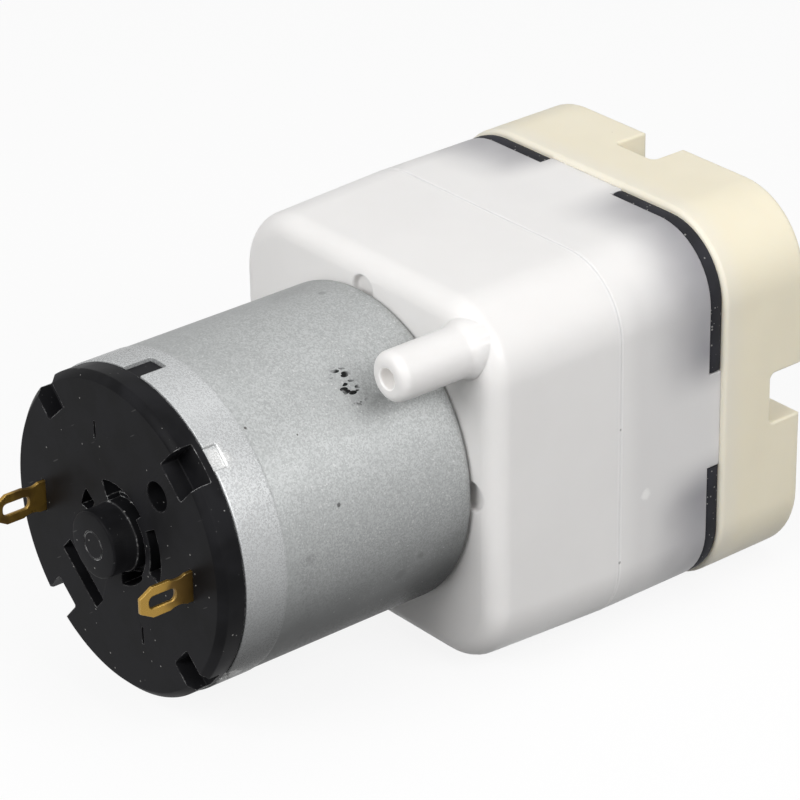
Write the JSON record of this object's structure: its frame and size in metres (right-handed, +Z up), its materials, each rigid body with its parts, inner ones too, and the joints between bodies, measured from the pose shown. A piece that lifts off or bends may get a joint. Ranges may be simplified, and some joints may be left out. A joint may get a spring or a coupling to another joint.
{
  "type": "mini air pump",
  "caption": "Small motor-driven diaphragm air pump: round steel motor with two solder tags, square white head with an outlet nozzle, and a cream end cover.",
  "frame": {"origin": "on the motor's axis, at the motor can's front face, where it meets the pump base", "axes": "+Y along the motor's axis from the terminals towards the cover, +Z up, the outlet nozzle in the +X +Z corner"},
  "size_m": [0.0396, 0.0744, 0.0396],
  "materials": {
    "zinc_steel": "zinc-plated, fine spangle",
    "bright_steel": "bright",
    "core_steel": "stacked laminations",
    "black_plastic": "moulded, slightly dusty",
    "white_plastic": "moulded, translucent",
    "cream_plastic": "moulded, satin",
    "black_rubber": "matt with dust",
    "brass": "stamped, slightly tarnished",
    "sintered_bronze": "sintered",
    "ferrite": "sintered, dark grey",
    "carbon": "carbon",
    "copper_wire": "copper"
  },
  "bodies": {
    "housing": {"motor_can": "zinc_steel", "end_cap": "black_plastic", "rear_bearing": "sintered_bronze", "front_bearing": "sintered_bronze", "field_magnets": "ferrite", "magnet_clip": "bright_steel", "terminal_left": "brass", "terminal_right": "brass", "brush_arms": "brass", "brushes": "carbon", "motor_screws": "bright_steel", "pump_base": "white_plastic", "diaphragm_holder": "white_plastic", "diaphragm": "black_rubber", "valve_plate": "white_plastic", "intake_valves": "black_rubber", "exhaust_valves": "black_rubber", "head_cover": "cream_plastic", "cover_screws": "bright_steel"},
    "rotor": {"motor_shaft": "bright_steel", "armature_core": "core_steel", "armature_windings": "copper_wire", "commutator_hub": "black_plastic", "commutator_segments": "copper_wire", "shaft_washers": "white_plastic", "eccentric": "white_plastic", "crank_pin": "bright_steel"},
    "wobble": {"wobble_plate": "white_plastic", "cup_floors": "black_rubber"}
  },
  "joints": [
    {"name": "motor_spin", "type": "hinge", "parent": "housing", "child": "rotor", "pos_m": [0, 0, 0], "axis": [0, 1, 0], "continuous": true},
    {"name": "plate_wobble", "type": "hinge", "parent": "rotor", "child": "wobble", "pos_m": [0, 0.0222, 0], "axis": [-0.1219, 0.9925, 0], "continuous": true, "deforming": ["diaphragm"]}
  ],
  "couplings": [
    {"joint": "plate_wobble", "follows": "motor_spin", "ratio": -1}
  ]
}
